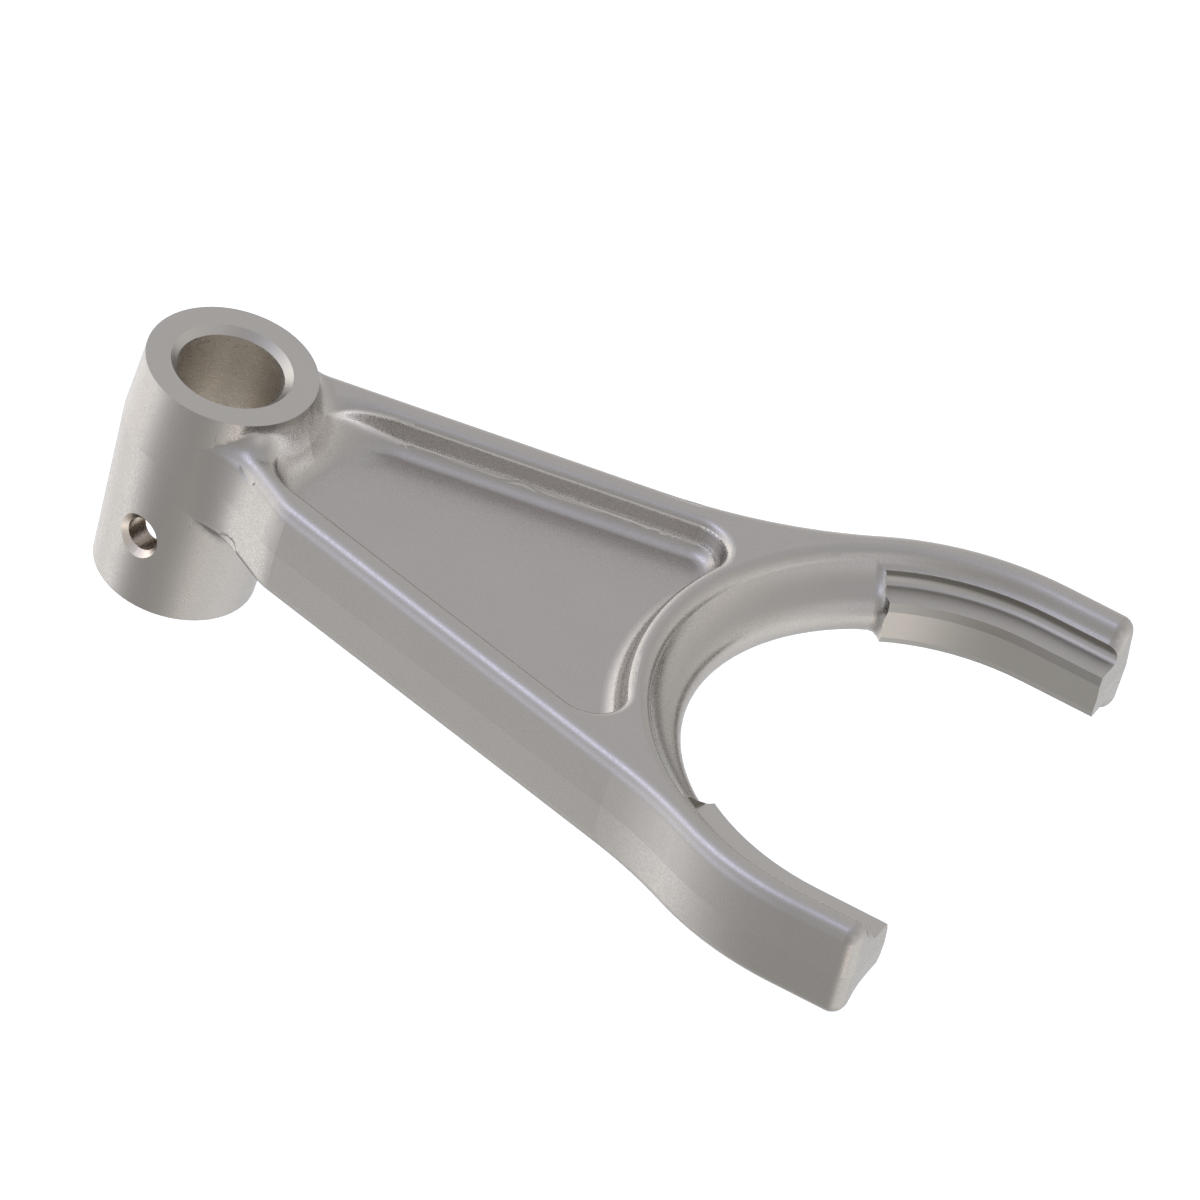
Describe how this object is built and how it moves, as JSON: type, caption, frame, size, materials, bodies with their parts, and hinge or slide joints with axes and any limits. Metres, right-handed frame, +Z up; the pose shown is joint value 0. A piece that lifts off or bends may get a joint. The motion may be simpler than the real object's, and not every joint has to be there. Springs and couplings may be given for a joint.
{
  "type": "transmission shift fork",
  "caption": "Cast shift fork with a bored hub for a rail, a pocketed triangular web and a half-round yoke with machined tongues.",
  "frame": {"origin": "on the rail bore axis, at the parting plane of the web and yoke", "axes": "+Z up the rail bore towards the short end of the hub, +X from the bore to the open end of the yoke"},
  "size_m": [0.1328, 0.0866, 0.036],
  "materials": {
    "shift_fork": "fine shot-blasted casting with milled tongues, hub faces and bore"
  },
  "bodies": {
    "root": {"shift_fork": "shift_fork"}
  },
  "joints": []
}
